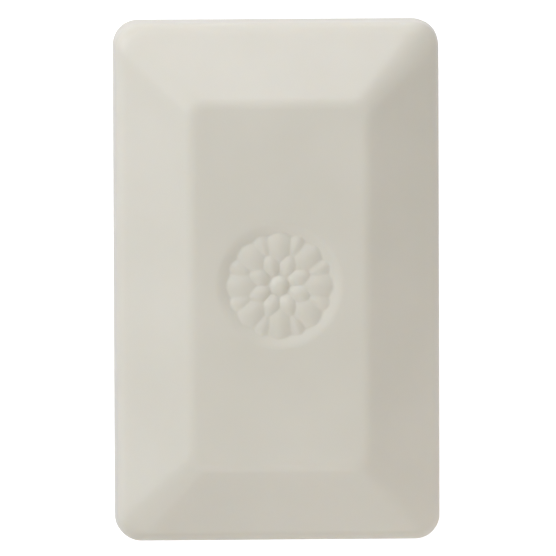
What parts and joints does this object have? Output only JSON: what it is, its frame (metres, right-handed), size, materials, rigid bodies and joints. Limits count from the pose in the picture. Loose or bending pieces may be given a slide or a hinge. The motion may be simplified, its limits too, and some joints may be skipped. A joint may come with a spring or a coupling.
{
  "type": "bar of soap",
  "caption": "Large rectangular bath soap, bevelled on both faces down from flat panels, with a round petal rosette stamped into the front.",
  "frame": {"origin": "middle of the back panel, the flat face that the bar rests on", "axes": "+X across the width, +Y along the length, +Z out of the front panel that carries the medallion"},
  "size_m": [0.065, 0.104, 0.032],
  "materials": {
    "soap": "smooth waxy satin, ivory"
  },
  "bodies": {
    "root": {"soap_bar": "soap"}
  },
  "joints": []
}
